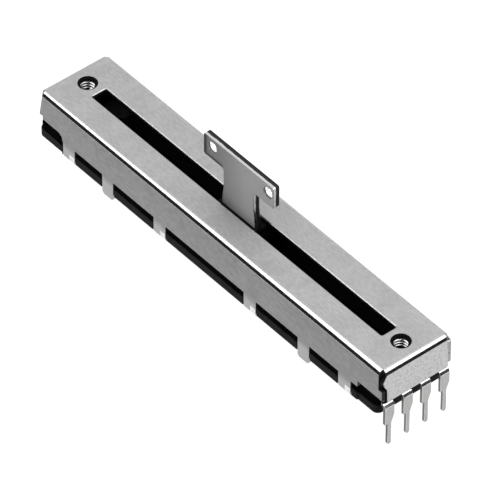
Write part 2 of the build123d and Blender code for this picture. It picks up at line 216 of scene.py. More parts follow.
class Shader:
    """A material while its nodes are laid out. Its patterns are measured in millimetres."""

    def __init__(self, name: str) -> None:
        """Starts a material with a Principled surface.

        Args:
            name: The material's name.
        """
        self.material = bpy.data.materials.new(name)
        self.material.use_nodes = True
        self.tree = self.material.node_tree
        coordinates = self.node("ShaderNodeTexCoord", output="Object")
        settings = {"operation": "SCALE"}
        self.place = self.node("ShaderNodeVectorMath", settings, {"Vector": coordinates, "Scale": 1 / MM})

    def fill(self, node: bpy.types.Node, inputs: dict[int | str, Any]) -> None:
        """Sets or links a node's input sockets.

        Args:
            node: The node.
            inputs: The value or link of each input socket, by name or number.
        """
        for key, value in inputs.items():
            if isinstance(value, Field):
                self.tree.links.new(value.socket, node.inputs[key])
            else:
                node.inputs[key].default_value = value

    def node(
        self,
        kind: str,
        settings: dict[str, Any] | None = None,
        inputs: dict[int | str, Any] | None = None,
        output: int | str = 0,
    ) -> Field:
        """Adds a node.

        Args:
            kind: The node's type.
            settings: Its properties, set before its inputs.
            inputs: The value or link of each input socket, by name or number.
            output: The output socket that is wanted.

        Returns:
            The wanted output.
        """
        node = self.tree.nodes.new(kind)
        for name, value in (settings or {}).items():
            setattr(node, name, value)
        self.fill(node, inputs or {})
        return Field(self, node.outputs[output])

    def noise(self, scale: float, stretch: Triple = (1, 1, 1), detail: Detail = Detail.FINE) -> Field:
        """Gives a cloudy pattern.

        Args:
            scale: Features in each millimetre.
            stretch: How much the scale is multiplied along each axis.
            detail: Its octaves of finer detail.

        Returns:
            A value round 0.5.
        """
        mapped = self.node("ShaderNodeMapping", inputs={"Vector": self.place, "Scale": stretch})
        return self.node("ShaderNodeTexNoise", inputs={"Vector": mapped, "Scale": scale, "Detail": detail.value})

    def cells(self, scale: float) -> Field:
        """Gives the distance to the nearest of scattered points, with that many in each millimetre."""
        return self.node("ShaderNodeTexVoronoi", inputs={"Vector": self.place, "Scale": scale}, output="Distance")

    def along(self, axis: Axis) -> Field:
        """Gives the place along one axis, in millimetres."""
        return self.node("ShaderNodeSeparateXYZ", inputs={0: self.place}, output=axis.value)

    def tint(self, amount: Field, first: Iterable[float], second: Iterable[float]) -> Field:
        """Mixes two colours.

        Args:
            amount: The share of the second colour.
            first: The colour where the amount is 0.
            second: The colour where the amount is 1.

        Returns:
            The mixed colour.
        """
        settings = {"data_type": "RGBA"}
        inputs = {"Factor": amount, 6: (*first, 1.0), 7: (*second, 1.0)}
        return self.node("ShaderNodeMix", settings, inputs, output=2)

    def bump(self, height: Field, depth: float) -> Field:
        """Turns a height from 0 to 1 into a normal, where 1 stands for a depth in millimetres."""
        return self.node("ShaderNodeBump", inputs={"Height": height, "Distance": depth * MM})

    def surface(self, inputs: dict[str, Any]) -> bpy.types.Material:
        """Sets the Principled surface's sockets, by name, and gives the finished material."""
        self.fill(self.tree.nodes["Principled BSDF"], inputs)
        return self.material


def grey(level: float, warmth: float = 0.0) -> Triple:
    """Gives a near grey colour, warmer where warmth is above 0."""
    return (level * (1 + warmth), level, level * (1 - warmth))


@dataclass(frozen=True)
class Finish:
    """A finish with a name, from which a procedural material is made."""

    name: str

    def make(self) -> bpy.types.Material:
        """Lays out the material. Each kind of finish has its own layout."""
        raise NotImplementedError


@dataclass(frozen=True)
class PlatedSheet(Finish):
    """Plated sheet metal with rolling grain, faint drawing marks and uneven plating."""

    level: float
    roughness: float
    warmth: float = 0.0
    mottling: float = 0.06
    metallic: float = 1.0
    tone_blur: float = 0.5
    grain: Triple = (0.12, 1.0, 1.0)
    grain_scale: float = 4.5
    grain_share: float = 0.65
    grain_depth: float = 0.0009
    patch_scale: float = 0.35
    patch_roughness: float = 0.08
    mark_scale: float = 9.0
    mark_stretch: float = 0.3
    mark_edge: float = 0.68
    mark_blur: float = 0.08
    mark_roughness: float = 0.06
    mark_height: float = 0.4

    def make(self) -> bpy.types.Material:
        """Lays out the material.

        Returns:
            The material.
        """
        shader = Shader(self.name)
        patches = shader.noise(self.patch_scale, detail=Detail.FINEST)
        rolling = shader.noise(self.grain_scale, self.grain)
        mark_grain = tuple(self.mark_stretch * share if share < 1 else share for share in self.grain)
        marks = shader.noise(self.mark_scale, mark_grain, Detail.NONE).above(self.mark_edge, self.mark_blur)
        tone = patches * (1 - self.grain_share) + rolling * self.grain_share
        dark = grey(self.level * (1 - self.mottling), self.warmth)
        light = grey(self.level * (1 + self.mottling), self.warmth)
        return shader.surface({
            "Base Color": shader.tint(tone.above(CLOUD_MIDDLE, self.tone_blur), dark, light),
            "Metallic": self.metallic,
            "Roughness": self.roughness + patches.swing() * self.patch_roughness + marks * self.mark_roughness,
            "Normal": shader.bump(rolling + marks * self.mark_height, self.grain_depth),
        })


@dataclass(frozen=True)
class DentedFootPaintedReflection(Finish):
    """The lowest part of the wall, its tabs and its legs, dented, and painted paler towards the bottom as a painted
    reflection of the pale floor.
    """

    upper_level: float
    lower_level: float
    roughness: float
    middle: float = -5.55
    blur: float = 1.1
    raggedness: float = 0.8
    dent_scale: float = 1.6
    dent_depth: float = 0.012
    dent_roughness: float = 0.1

    def make(self) -> bpy.types.Material:
        """Lays out the material.

        Returns:
            The material.
        """
        shader = Shader(self.name)
        dents = shader.noise(self.dent_scale)
        # Painted reflection: the colour turns paler below the middle level, with a ragged boundary.
        pale = 1.0 - (shader.along(Axis.Z) + dents.swing() * self.raggedness).above(self.middle, self.blur)
        return shader.surface({
            "Base Color": shader.tint(pale, grey(self.upper_level), grey(self.lower_level)),
            "Metallic": 1.0,
            "Roughness": self.roughness + dents.swing() * self.dent_roughness,
            "Normal": shader.bump(dents, self.dent_depth),
        })


@dataclass(frozen=True)
class LeverPlate(Finish):
    """Dull nickel plate with painted shade: darker towards its left end and in bands along its edges there."""

    level: float
    roughness: float
    metallic: float
    shade_middle: float = -1.5
    shade_blur: float = 8.0
    shade_depth: float = 0.5
    edge_x: float = -5.55
    edge_z: float = 5.1
    edge_blur: float = 0.5
    edge_shade_depth: float = 0.85
    stem_x: float = -2.8
    mottling: float = 0.07
    tone_blur: float = 0.5
    patch_scale: float = 0.5
    patch_share: float = 0.6
    patch_roughness: float = 0.1
    brush_grain: Triple = (1.0, 1.0, 0.15)
    brush_scale: float = 7.0
    brush_depth: float = 0.0015

    def make(self) -> bpy.types.Material:
        """Lays out the material.

        Returns:
            The material.
        """
        shader = Shader(self.name)
        along, height = shader.along(Axis.X), shader.along(Axis.Z)
        # Painted shade towards the left end, and in bands along the head's left edge and its lower edges left of the
        # stem.
        shade = 1.0 - along.above(self.shade_middle, self.shade_blur)
        under = (1.0 - height.above(self.edge_z, self.edge_blur)) * (1.0 - along.above(self.stem_x, self.edge_blur))
        painted_edge_shade = (1.0 - along.above(self.edge_x, self.edge_blur)).math("MAXIMUM", under)
        patches = shader.noise(self.patch_scale, detail=Detail.FINEST)
        brushing = shader.noise(self.brush_scale, self.brush_grain)
        tone = patches * self.patch_share + brushing * (1 - self.patch_share)
        mottled = tone.above(CLOUD_MIDDLE, self.tone_blur) * (2 * self.mottling) + (1 - self.mottling)
        amount = mottled * (1.0 - shade * self.shade_depth) * (1.0 - painted_edge_shade * self.edge_shade_depth)
        return shader.surface({
            "Base Color": shader.tint(amount, grey(0.0), grey(self.level)),
            "Metallic": self.metallic,
            "Roughness": self.roughness + patches.swing() * self.patch_roughness,
            "Normal": shader.bump(brushing, self.brush_depth),
        })


@dataclass(frozen=True)
class WornEdgeWithPaintedLight(Finish):
    """The rounded edge of a sheet, with nicks from handling, in one level that most uses set lighter as a painted
    highlight and one sets darker as painted shade.
    """

    level: float
    roughness: float
    nick_scale: float = 3.0
    nick_edge: float = 0.55
    nick_blur: float = 0.2
    nick_shade: float = 0.8
    nick_roughness: float = 0.2
    nick_depth: float = 0.002

    def make(self) -> bpy.types.Material:
        """Lays out the material.

        Returns:
            The material.
        """
        shader = Shader(self.name)
        nicks = shader.noise(self.nick_scale)
        nicked = nicks.above(self.nick_edge, self.nick_blur)
        return shader.surface({
            "Base Color": shader.tint(nicked, grey(self.level), grey(self.level * self.nick_shade)),
            "Metallic": 1.0,
            "Roughness": self.roughness + nicks.swing() * self.nick_roughness,
            "Normal": shader.bump(nicks, self.nick_depth),
        })


@dataclass(frozen=True)
class ShearedEdgeWithPaintedLight(Finish):
    """A punched edge, burnished where the punch went in and torn past a line along one axis, whose two levels carry
    painted light: painted shade on the torn side and, on some edges, a painted highlight on the burnished side.
    """

    axis: Axis
    line: float
    burnished_painted_level: float
    torn_painted_level: float
    torn_side: Side = Side.HIGH
    blur: float = 0.06
    burnished_roughness: float = 0.26
    torn_roughness: float = 0.35
    ragged_scale: float = 2.5
    raggedness: float = 0.2
    crumb_scale: float = 14.0
    crumb_depth: float = 0.02

    def make(self) -> bpy.types.Material:
        """Lays out the material.

        Returns:
            The material.
        """
        shader = Shader(self.name)
        ragged = shader.noise(self.ragged_scale)
        depth = (shader.along(self.axis) - self.line) * self.torn_side.value
        # Painted light: past the line the edge takes the torn level, as painted shade.
        torn = (depth + ragged.swing() * self.raggedness).above(0.0, self.blur)
        crumbs = shader.noise(self.crumb_scale, detail=Detail.FINEST)
        return shader.surface({
            "Base Color": shader.tint(torn, grey(self.burnished_painted_level), grey(self.torn_painted_level)),
            "Metallic": 1.0,
            "Roughness": self.burnished_roughness + torn * self.torn_roughness,
            "Normal": shader.bump(crumbs * torn, self.crumb_depth),
        })


@dataclass(frozen=True)
class Moulding(Finish):
    """Matt moulded or laminated plastic with a fine spark-eroded texture."""

    level: float
    roughness: float
    gloss: float = 0.1
    warmth: float = 0.0
    texture: float = 9.0
    depth: float = 0.006
    cloud_scale: float = 0.8
    cloud_blur: float = 0.4
    cloud_roughness: float = 0.2
    dark_share: float = 0.7
    light_share: float = 1.35

    def make(self) -> bpy.types.Material:
        """Lays out the material.

        Returns:
            The material.
        """
        shader = Shader(self.name)
        clouds = shader.noise(self.cloud_scale)
        pits = shader.noise(self.texture)
        dark = grey(self.level * self.dark_share, self.warmth)
        light = grey(self.level * self.light_share, self.warmth)
        return shader.surface({
            "Base Color": shader.tint(clouds.above(CLOUD_MIDDLE, self.cloud_blur), dark, light),
            "Metallic": 0.0,
            "Specular IOR Level": self.gloss,
            "Roughness": self.roughness + clouds.swing() * self.cloud_roughness,
            "Normal": shader.bump(pits, self.depth),
        })


@dataclass(frozen=True)
class PrintedFilm(Finish):
    """A printed conductor or carbon film, with the mesh of its screen left in it."""

    level: float
    roughness: float
    metallic: float
    warmth: float = 0.0
    gloss: float = 0.05
    mesh_scale: float = 8.0
    mesh_depth: float = 0.004
    wear_grain: Triple = (0.05, 1.0, 1.0)
    wear_scale: float = 2.0
    wear_blur: float = 0.4
    wear_shade: float = 0.75
    wear_roughness: float = 0.2

    def make(self) -> bpy.types.Material:
        """Lays out the material.

        Returns:
            The material.
        """
        shader = Shader(self.name)
        mesh = shader.cells(self.mesh_scale)
        wear = shader.noise(self.wear_scale, self.wear_grain)
        fresh = grey(self.level, self.warmth)
        worn = grey(self.level * self.wear_shade, self.warmth)
        return shader.surface({
            "Base Color": shader.tint(wear.above(CLOUD_MIDDLE, self.wear_blur), fresh, worn),
            "Metallic": self.metallic,
            "Specular IOR Level": self.gloss,
            "Roughness": self.roughness + wear.swing() * self.wear_roughness,
            "Normal": shader.bump(mesh, self.mesh_depth),
        })


@dataclass(frozen=True)
class GlowingCard(Finish):
    """A card or floor of the studio, matt and with an even glow of its own."""

    glow: float
    level: float = 0.0
    roughness: float = 1.0

    def make(self) -> bpy.types.Material:
        """Lays out the material."""
        return Shader(self.name).surface({
            "Base Color": (*grey(self.level), 1.0),
            "Roughness": self.roughness,
            "Specular IOR Level": 0.0,
            "Emission Color": (*grey(self.glow), 1.0),
            "Emission Strength": 1.0,
        })


class Finishes:
    """Every material of the part, made once."""

    def __init__(self) -> None:
        """Makes the materials."""
        lengthwise = (0.3, 1.0, 0.5)
        upright = (1.0, 1.0, 0.15)
        self.cover = PlatedSheet(
            "satin_tin_plate", level=0.24, roughness=0.45, mottling=0.16, metallic=0.68, grain=lengthwise
        ).make()
        # Painted highlight: the cover's folds and rounded edges, lighter and glossier than the flat sheet.
        self.cover_edge_highlight = WornEdgeWithPaintedLight("cover_edge_painted_highlight", level=0.4, roughness=0.13).make()
        self.cover_rim = WornEdgeWithPaintedLight("slot_rim", level=0.27, roughness=0.3).make()
        # Painted reflection: the walls' foot, tabs and legs paler towards the bottom.
        self.cover_paler_foot = DentedFootPaintedReflection("tab_painted_reflection", upper_level=0.3, lower_level=0.47, roughness=0.34).make()
        # Painted shade: the cover's cut faces in the corner notch, the slot and along the lower edges, near-black.
        self.cover_cut_shade = ShearedEdgeWithPaintedLight(
            "cover_cut_edge_painted_shade", Axis.Z, line=-0.3, burnished_painted_level=0.06, torn_painted_level=0.02, torn_side=Side.LOW
        ).make()
        # Painted highlight: a near-white patch on the right half of each tab's lower end.
        self.cover_painted_glint = WornEdgeWithPaintedLight("tab_painted_glint", level=0.97, roughness=0.3).make()
        # Painted shade: the holes' mouths above the line are near-black, in place of a dark reflection; the thread
        # below is lighter.
        self.thread = ShearedEdgeWithPaintedLight(
            "cut_thread_painted_mouth_shade", Axis.Z, line=-0.36, burnished_painted_level=0.36, torn_painted_level=0.003, blur=0.02
        ).make()
        # The lever's plate carries painted shade towards its left end and along its edges there.
        self.lever = LeverPlate("nickel_lever_painted_shade", level=0.2, roughness=0.5, metallic=0.2).make()
        # Painted highlight: the lever's rounded edges that face up or right, a lit copy of the edge finish.
        self.lever_lit_edge = WornEdgeWithPaintedLight("lever_edge_painted_highlight", level=0.4, roughness=0.25).make()
        # Painted shade: a near-black copy of the edge finish for the lever's edges that face down or left.
        self.lever_shaded_edge = WornEdgeWithPaintedLight("lever_edge_painted_shade", level=0.04, roughness=0.4).make()
        # Painted light on the lever's cut sides: a bright front band as painted highlight, the rest near-black as
        # painted shade.
        self.lever_cut_painted_light = ShearedEdgeWithPaintedLight(
            "lever_cut_edge_painted_light", Axis.Y, line=-0.12, burnished_painted_level=0.5, torn_painted_level=0.02
        ).make()
        # Painted highlight: each hole's wall behind the line is bright, the front part darker.
        self.lever_bore_highlight = ShearedEdgeWithPaintedLight(
            "lever_hole_wall_painted_highlight", Axis.Y, line=-0.15, burnished_painted_level=0.75, torn_painted_level=0.12, torn_side=Side.LOW
        ).make()
        self.terminal = PlatedSheet(
            "tinned_strip", level=0.33, roughness=0.3, warmth=0.01, mottling=0.12, grain=upright
        ).make()
        # Painted highlight on the terminals' bends and rounded edges.
        self.terminal_bend_highlight = WornEdgeWithPaintedLight("tinned_bend_painted_highlight", level=0.55, roughness=0.2).make()
        # Painted shade on the terminals' cut sides, which face across the row.
        self.terminal_side_shade = PlatedSheet(
            "tinned_side_painted_shade", level=0.16, roughness=0.4, warmth=0.02, grain=upright
        ).make()
        self.eyelet = PlatedSheet("tinned_eyelet", level=0.6, roughness=0.25, warmth=0.03).make()
        self.base = Moulding("black_base_plate", level=0.006, roughness=0.5, gloss=0.04).make()
        self.board = Moulding(
            "black_laminate", level=0.001, roughness=0.62, gloss=0.003, warmth=0.08, texture=5.0, depth=0.01
        ).make()
        self.block = Moulding("black_insulator", level=0.001, roughness=0.55, gloss=0.003).make()
        self.carriage = Moulding("black_acetal", level=0.002, roughness=0.4, gloss=0.02, depth=0.003).make()
        self.carbon = PrintedFilm("carbon_film", level=0.002, roughness=0.5, metallic=0.0).make()
        # Painted shade: the printed conductor is near-black, for the shade inside the housing under the slot.
        self.silver = PrintedFilm("silver_print", level=0.03, roughness=0.6, metallic=0.6, warmth=0.02).make()
        self.wiper = PlatedSheet("bronze_strip", level=0.5, roughness=0.25, warmth=0.22).make()
        self.leaf = PlatedSheet("spring_steel", level=0.45, roughness=0.25).make()


def in_zone(face: bpy.types.MeshPolygon, zone: Zone) -> bool:
    """Says whether a face is in a zone."""
    return face.material_index == zone.value


class Workpiece:
    """A mesh on the bench, in millimetres, until it is finished."""

    def __init__(self, obj: bpy.types.Object) -> None:
        """Takes an object that is already in place."""
        self.obj = obj

    @classmethod
    def of_node(cls, node: str, name: str) -> "Workpiece":
        """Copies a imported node, joins its loose triangles and clears its stored normals.

        Args:
            node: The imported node.
            name: The new piece's name.

        Returns:
            The copy, in millimetres.
        """
        obj = frame["nodes"][node].copy()
        obj.data = frame["nodes"][node].data.copy()
        obj.parent = None
        obj.name = obj.data.name = name
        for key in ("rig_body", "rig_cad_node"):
            del obj[key]
        bpy.context.collection.objects.link(obj)
        obj.data.materials.clear()
        piece = cls(obj)
        piece.scale(1 / MM)
        piece.select()
        bpy.ops.mesh.customdata_custom_splitnormals_clear()
        piece.edit(lambda face: True)
        bpy.ops.mesh.remove_doubles(threshold=MERGE_GAP)
        bpy.ops.mesh.dissolve_limited(angle_limit=math.radians(FLAT_ANGLE))
        bpy.ops.object.mode_set(mode="OBJECT")
        return piece

    def select(self) -> None:
        """Makes this the only selected and active object."""
        bpy.ops.object.select_all(action="DESELECT")
        self.obj.select_set(True)
        bpy.context.view_layer.objects.active = self.obj

    def scale(self, factor: float) -> None:
        """Scales the mesh about the origin.

        Args:
            factor: How many times larger it becomes.
        """
        self.select()
        self.obj.scale = (factor, factor, factor)
        bpy.ops.object.transform_apply(location=True, rotation=True, scale=True)

    def edit(self, wanted: FaceTest) -> None:
        """Enters edit mode with only the wanted faces selected.

        Args:
            wanted: Says of a face whether it is selected.
        """
        self.select()
        bpy.ops.object.mode_set(mode="EDIT")
        bpy.ops.mesh.select_mode(type="FACE")
        bpy.ops.mesh.select_all(action="DESELECT")
        bpy.ops.object.mode_set(mode="OBJECT")
        for face in self.obj.data.polygons:
            face.select = wanted(face)
        bpy.ops.object.mode_set(mode="EDIT")

    def slice(self, place: float, axis: Axis = Axis.Z) -> None:
        """Cuts every face along a plane, so that what lies past it can be shaped or painted apart.

        Args:
            place: Where the plane crosses the axis.
            axis: The axis that the plane faces.
        """
        facing = Vector([float(axis is other) for other in Axis])
        self.edit(lambda face: True)
        bpy.ops.mesh.bisect(plane_co=facing * place, plane_no=facing)
        bpy.ops.object.mode_set(mode="OBJECT")

    def shift(self, offset: Triple, wanted: FaceTest) -> None:
        """Moves the wanted faces.

        Args:
            offset: How far, along each axis.
            wanted: Says of a face whether it moves.
        """
        self.edit(wanted)
        bpy.ops.transform.translate(value=offset)
        bpy.ops.object.mode_set(mode="OBJECT")

    def modify(self, kind: str, **settings: Any) -> None:
        """Adds a modifier and applies it.

        Args:
            kind: The modifier's type.
            settings: Its properties.
        """
        self.select()
        modifier = self.obj.modifiers.new(kind.lower(), kind)
        for name, value in settings.items():
            setattr(modifier, name, value)
        bpy.ops.object.modifier_apply(modifier=modifier.name)

    def dress(self, *materials: bpy.types.Material) -> None:
        """Replaces the piece's materials.

        Args:
            materials: The new ones, in the order of Zone.
        """
        self.obj.data.materials.clear()
        for material in materials:
            self.obj.data.materials.append(material)

    def paint(self, zone: Zone, wanted: FaceTest) -> None:
        """Puts the wanted faces in a zone.

        Args:
            zone: The zone.
            wanted: Says of a face whether it goes there.
        """
        for face in self.obj.data.polygons:
            if wanted(face):
                face.material_index = zone.value

    def round_edges(self, width: float, segments: int = 2, angle: float = 35.0) -> None:
        """Rounds the sharp edges, and puts the new faces in the edge zone.

        Args:
            width: How far the rounding reaches from the edge, in millimetres.
            segments: Faces across the rounding.
            angle: The least angle of an edge that is rounded, in degrees.
        """
        self.modify(
            "BEVEL",
            width=width,
            segments=segments,
            limit_method="ANGLE",
            angle_limit=math.radians(angle),
            use_clamp_overlap=False,
            material=Zone.EDGE.value,
        )

    def cut(self, tool: "Workpiece") -> None:
        """Cuts another workpiece out of this one, and removes it."""
        self.modify("BOOLEAN", operation="DIFFERENCE", solver="EXACT", object=tool.obj, material_mode="TRANSFER")
        bpy.data.objects.remove(tool.obj)

    def finish(self, body: Body, slot: Slot, node: str) -> bpy.types.Object:
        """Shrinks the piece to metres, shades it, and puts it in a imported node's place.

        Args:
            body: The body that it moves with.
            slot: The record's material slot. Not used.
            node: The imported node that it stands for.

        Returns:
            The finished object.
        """
        self.select()
        bpy.ops.object.shade_smooth_by_angle(angle=math.radians(SMOOTH_ANGLE))
        self.modify("WEIGHTED_NORMAL", keep_sharp=True, weight=NORMAL_WEIGHT)
        self.scale(MM)
        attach(self.obj, body.value)
        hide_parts(node)
        return self.obj


@dataclass
class ThreadTap:
    """The tool that cuts a screw thread, as a closed solid with one ridge wound round it."""

    minor_radius: float = 0.79
    major_radius: float = 1.0
    pitch: float = 0.4
    ridge_flat: float = 0.05
    ridge_foot: float = 0.3
    turns: int = 6
    steps: int = 60
    start: float = -2.0

    def make(self, x: float, material: bpy.types.Material) -> Workpiece:
        """Winds the tool round a hole's axis.

        Args:
            x: The hole's place along the body.
            material: The finish of the walls that it cuts.

        Returns:
            The tool, in millimetres.
        """
        bpy.ops.object.select_all(action="DESELECT")
        bpy.ops.mesh.primitive_plane_add(size=self.pitch, location=(0, 0, 0))
        tool = Workpiece(bpy.context.object)
        tool.edit(lambda face: True)
        bpy.ops.mesh.merge(type="CENTER")
        bpy.ops.mesh.select_mode(type="VERT")
        bpy.ops.mesh.select_all(action="SELECT")
        bpy.ops.transform.translate(value=(self.minor_radius, 0, self.start))
        height = self.major_radius - self.minor_radius
        flank = (self.ridge_foot - self.ridge_flat) / 2
        for out, up in ((height, flank), (0, self.ridge_flat), (-height, flank), (0, self.pitch - self.ridge_foot)):
            bpy.ops.mesh.extrude_vertices_move(TRANSFORM_OT_translate={"value": (out, 0, up)})
        bpy.ops.object.mode_set(mode="OBJECT")
        tool.modify("SCREW", steps=self.steps, screw_offset=self.pitch, iterations=self.turns, use_merge_vertices=True)
        tool.edit(lambda face: True)
        bpy.ops.mesh.select_mode(type="EDGE")
        bpy.ops.mesh.select_all(action="SELECT")
        bpy.ops.mesh.remove_doubles(threshold=MERGE_GAP)
        bpy.ops.mesh.select_all(action="SELECT")
        bpy.ops.mesh.fill_holes(sides=0)
        bpy.ops.mesh.select_all(action="SELECT")
        bpy.ops.mesh.normals_make_consistent(inside=False)
        bpy.ops.transform.translate(value=(x, 0, 0))
        bpy.ops.object.mode_set(mode="OBJECT")
        tool.dress(material)
        return tool


@dataclass
class Assembly:
    """Pieces that are built together, in the part's finishes."""

    finishes: Finishes

    def build(self) -> list[bpy.types.Object]:
        """Builds the pieces. Each kind of assembly has its own."""
        raise NotImplementedError


@dataclass
class Cover(Assembly):
    """The folded cover, with rounded cut edges and threads cut in its collars."""

    edge_round: float = 0.07
    square_on: float = 0.9
    bend_least: float = 0.05
    bend_most: float = 0.985
    corner_x: float = 29.5
    corner_y: float = 4.4
    wall_y: float = 5.0
    wall_foot: float = -4.95
    slot_reach: float = 25.6
    slot_half_width: float = 1.2
    slot_lean: float = 0.3
    rim_slack: float = 0.3
    rim_depth: float = 0.2
    sheet: float = 0.5
    hole_x: float = 27.5
    collar_radius: float = 1.2
    entry_growth: float = 1.12
    entry_depth: float = 0.01
    notch_top: float = -0.9
    notch_foot: float = -2.7
    notch_x: float = 29.65
    notch_slack: float = 0.05
    notch_fill: float = 0.6
    ragged_levels: tuple[float, ...] = (-0.9, -1.5, -2.1, -2.7)
    ragged_reach: tuple[float, ...] = (0.18, 0.34, 0.24)
    tab_x: tuple[float, ...] = (-24.85, -8.475, 7.475, 23.85)
    tab_half_width: float = 1.1
    tab_reach: float = 1.0
    spot_top: float = -6.25
    spot_offset: float = 0.1

    def build(self) -> list[bpy.types.Object]:
        """Builds the cover.

        Returns:
            The finished cover alone.
        """
        finishes = self.finishes
        piece = Workpiece.of_node("top_cover", "cover")
        piece.dress(
            finishes.cover,
            finishes.cover_edge_highlight,
            finishes.cover_cut_shade,
            finishes.thread,
            finishes.cover_paler_foot,
            finishes.cover_rim,
            finishes.cover_painted_glint,
        )
        self.close_notches(piece)
        self.widen_entries(piece)
        piece.slice(self.wall_foot)
        piece.slice(self.spot_top)
        for x in self.tab_x:
            piece.slice(x + self.spot_offset, Axis.X)
        # Folds get the painted highlight.
        piece.paint(Zone.EDGE, self.is_bend)
        # The walls' foot, tabs and legs get the painted reflection.
        piece.paint(Zone.PAINTED_LIGHT, self.is_wall_foot)
        # The tabs' lower right corners get the painted highlight.
        piece.paint(Zone.SPOT, self.is_painted_glint)
        # Cut faces get near-black painted shade.
        piece.paint(Zone.CUT, self.is_cut)
        piece.paint(Zone.BORE, self.is_bore)
        piece.round_edges(self.edge_round)
        # The notch's rounded lips get the same painted shade.
        piece.paint(Zone.CUT, self.is_notch_lip)
        piece.paint(Zone.RIM, self.is_slot_rim)
        # The rounded lips of the holes' mouths take the thread finish's painted shade.
        piece.paint(Zone.BORE, self.is_entry_lip)
        for side in Side:
            piece.cut(ThreadTap().make(side.value * self.hole_x, finishes.thread))
        return [piece.finish(Body.HOUSING, Slot.COVER, "top_cover")]

    def close_notches(self, piece: Workpiece) -> None:
        """Brings the sheet's ends together at the right corners, flush behind and ragged in front.

        Args:
            piece: The cover.
        """
        for level in self.ragged_levels:
            piece.slice(level)
        piece.shift((self.notch_fill, 0, 0), self.is_rear_wall_end)
        for top, foot, reach in zip(self.ragged_levels, self.ragged_levels[1:], self.ragged_reach):
            piece.shift((0, -reach, 0), lambda face: foot < face.center.z < top and self.is_flap_edge(face))

    def widen_entries(self, piece: Workpiece) -> None:
        """Opens the drawn mouths of the two holes a little.

        Args:
            piece: The cover.
        """
        for side in Side:
            middle = (side.value * self.hole_x, 0, 0)
            piece.select()
            for vertex in piece.obj.data.vertices:
                away = math.hypot(vertex.co.x - middle[0], vertex.co.y)
                vertex.select = away < self.collar_radius and abs(vertex.co.z) < self.entry_depth
            for part in (*piece.obj.data.edges, *piece.obj.data.polygons):
                part.select = all(piece.obj.data.vertices[index].select for index in part.vertices)
            bpy.ops.object.mode_set(mode="EDIT")
            bpy.ops.mesh.select_mode(type="VERT")
            bpy.ops.transform.resize(value=(self.entry_growth, self.entry_growth, 1), center_override=middle)
            bpy.ops.object.mode_set(mode="OBJECT")

    def is_rear_wall_end(self, face: bpy.types.MeshPolygon) -> bool:
        """Says whether a face is the rear wall's end inside the right corner notch."""
        inside = self.notch_foot < face.center.z < self.notch_top and face.center.y > self.corner_y
        return inside and face.normal.x > self.square_on and abs(face.center.x - self.notch_x) < self.notch_slack

    def is_flap_edge(self, face: bpy.types.MeshPolygon) -> bool:
        """Says whether a face is on the right flap's front edge."""
        inside = face.center.x > self.notch_x and -self.wall_y < face.center.y < -self.corner_y
        return inside and face.normal.y < -self.square_on

    def is_wall_foot(self, face: bpy.types.MeshPolygon) -> bool:
        """Says whether a face is on the walls' foot, a tab or a leg."""
        return face.center.z < self.wall_foot and abs(face.center.y) > self.wall_y - self.tab_reach

    def is_painted_glint(self, face: bpy.types.MeshPolygon) -> bool:
        """Says whether a face is on the lower right corner of a tab, painted near-white as a painted highlight."""
        beside = any(self.spot_offset < face.center.x - x < self.tab_half_width for x in self.tab_x)
        return beside and face.center.z < self.spot_top and abs(face.center.y) > self.wall_y - self.tab_reach

    def is_slot_rim(self, face: bpy.types.MeshPolygon) -> bool:
        """Says whether a rounded edge runs round the slot."""
        x, y, z = (abs(value) for value in face.center)
        return (
            in_zone(face, Zone.EDGE)
            and x < self.slot_reach + self.rim_slack
            and y < self.slot_half_width
            and z < self.rim_depth
        )

    def is_entry_lip(self, face: bpy.types.MeshPolygon) -> bool:
        """Says whether a rounded edge lies at a tapped hole's mouth."""
        away = math.hypot(abs(face.center.x) - self.hole_x, face.center.y)
        return in_zone(face, Zone.EDGE) and away < self.collar_radius * self.entry_growth

    def is_bend(self, face: bpy.types.MeshPolygon) -> bool:
        """Says whether a face belongs to a fold, which is painted lighter as a painted highlight."""
        return self.bend_least < abs(face.normal.z) < self.bend_most

    def is_notch_lip(self, face: bpy.types.MeshPolygon) -> bool:
        """Says whether a rounded edge lies round the near corner notch, which is painted dark as painted shade."""
        near = face.center.x > self.corner_x - self.edge_round and face.center.y < -self.corner_y
        return near and in_zone(face, Zone.EDGE)

    def is_cut(self, face: bpy.types.MeshPolygon) -> bool:
        """Says whether a face is a cut through the sheet, at the near corner notch, a lower edge or the slot.

        Args:
            face: The face.

        Returns:
            Whether it is.
        """
        x, y, z = (abs(value) for value in face.center)
        normal = face.normal
        if x > self.corner_x and y > self.corner_y:
            near = face.center.x > 0 > face.center.y and y < self.wall_y
            return near and max(abs(normal.x), abs(normal.y), normal.z) > self.square_on
        if normal.z < -self.square_on:
            return y > self.corner_y or x > self.corner_x
        return x < self.slot_reach and y < self.slot_half_width and z < self.sheet and abs(normal.z) < self.slot_lean

    def is_bore(self, face: bpy.types.MeshPolygon) -> bool:
        """Says whether a face belongs to a tapped hole's wall."""
        away = math.hypot(abs(face.center.x) - self.hole_x, face.center.y)
        return away < self.collar_radius and abs(face.normal.z) < self.square_on


